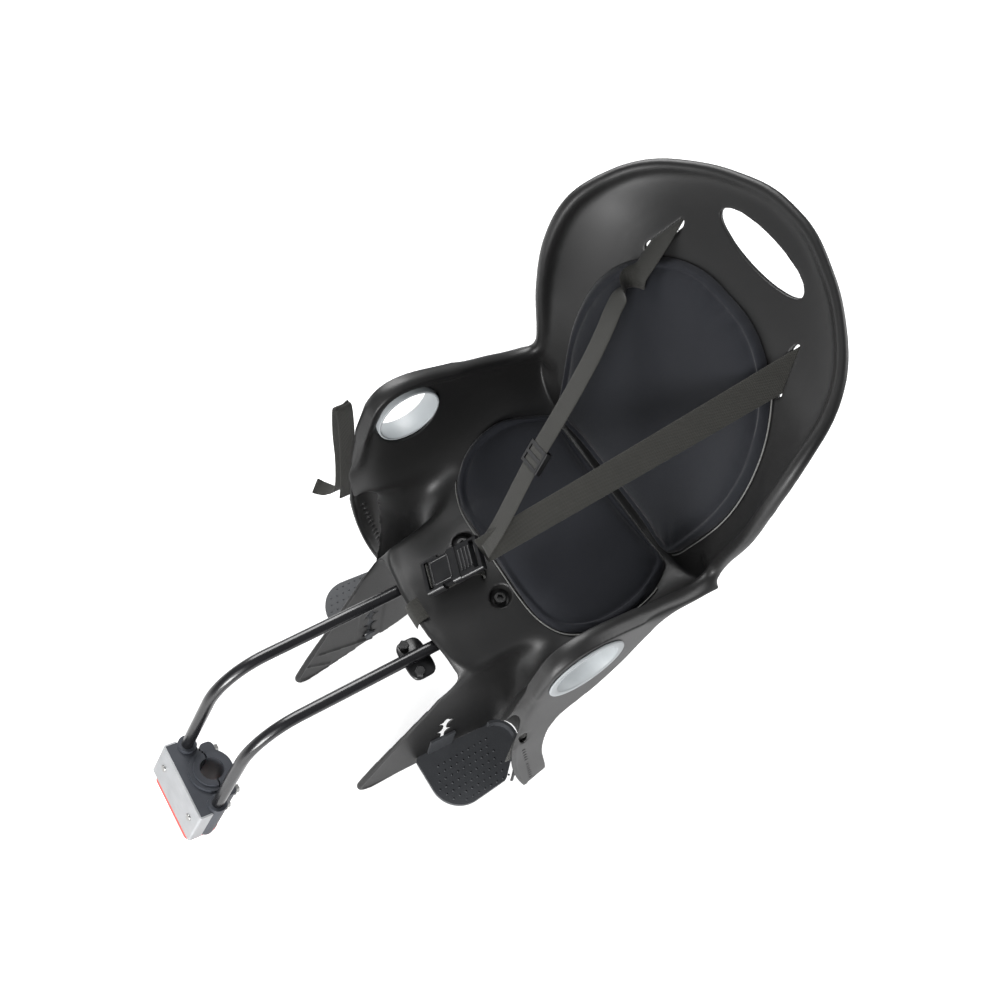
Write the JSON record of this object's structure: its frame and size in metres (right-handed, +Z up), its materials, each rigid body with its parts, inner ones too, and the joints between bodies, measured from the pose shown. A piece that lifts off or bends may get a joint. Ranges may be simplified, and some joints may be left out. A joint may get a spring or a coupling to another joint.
{
  "type": "child bike seat",
  "caption": "Rear child bike seat: moulded bucket shell with leg troughs, pads, harness and footrests on a bent steel bar that plugs into a seat tube clamp.",
  "frame": {"origin": "centre of the seat tube clamp bore", "axes": "+Z up, +Y to the rear of the bicycle, +X to the rider's right; the seat tube leans 20 degrees back from +Z"},
  "size_m": [0.4049, 0.6601, 0.7301],
  "materials": {
    "shell_plastic": "satin black, finely grained",
    "pad_cloth": "dark navy padded cloth with a bound edge",
    "ring_plastic": "light grey, smooth",
    "footrest_plastic": "dark blue-grey with a pimpled top",
    "bar_steel": "gloss black paint",
    "plate_steel": "zinc plated",
    "bolt_steel": "zinc plated",
    "clamp_plastic": "dark grey, grained",
    "button_plastic": "red",
    "webbing": "woven black webbing",
    "buckle_plastic": "black"
  },
  "bodies": {
    "seat": {"shell": "shell_plastic", "seat_pad": "pad_cloth", "back_pad": "pad_cloth", "grip_ring_right": "ring_plastic", "grip_ring_left": "ring_plastic", "carrier_bar": "bar_steel", "bar_clamp": "clamp_plastic", "bar_clamp_bolts": "bolt_steel", "seat_screws": "bolt_steel", "bracket_block": "clamp_plastic", "bracket_plate": "plate_steel", "plate_rivets": "bolt_steel", "clamp_jaw": "clamp_plastic", "clamp_bolts": "bolt_steel", "shoulder_strap_right": "webbing", "shoulder_strap_left": "webbing", "strap_keepers": "buckle_plastic", "crotch_strap": "webbing", "buckle_socket": "buckle_plastic", "buckle_tongue": "buckle_plastic", "foot_strap_left": "webbing", "foot_strap_right": "webbing"},
    "footrest_right": {"footrest_right": "footrest_plastic"},
    "footrest_left": {"footrest_left": "footrest_plastic"},
    "release_button": {"release_button": "button_plastic"},
    "latch_plate": {"latch_plate": "plate_steel"},
    "strap_slider": {"strap_slider": "buckle_plastic"}
  },
  "joints": [
    {"name": "footrest_right_height", "type": "slide", "parent": "seat", "child": "footrest_right", "axis": [0, 0, 1], "range_m": [0, 0.081]},
    {"name": "footrest_left_height", "type": "slide", "parent": "seat", "child": "footrest_left", "axis": [0, 0, 1], "range_m": [0, 0.081]},
    {"name": "release_press", "type": "slide", "parent": "seat", "child": "release_button", "axis": [0, 0.342, 0.9397], "range_m": [0, 0.005], "stiffness_N_per_m": 300, "springref_m": -0.004},
    {"name": "latch_slide", "type": "slide", "parent": "seat", "child": "latch_plate", "axis": [0, -0.9397, 0.342], "range_m": [0, 0.0025]},
    {"name": "slider_travel", "type": "slide", "parent": "seat", "child": "strap_slider", "axis": [-0.2482, 0.5904, 0.768], "range_m": [-0.03, 0.15]}
  ],
  "couplings": [
    {"joint": "latch_slide", "follows": "release_press", "ratio": 0.5}
  ]
}
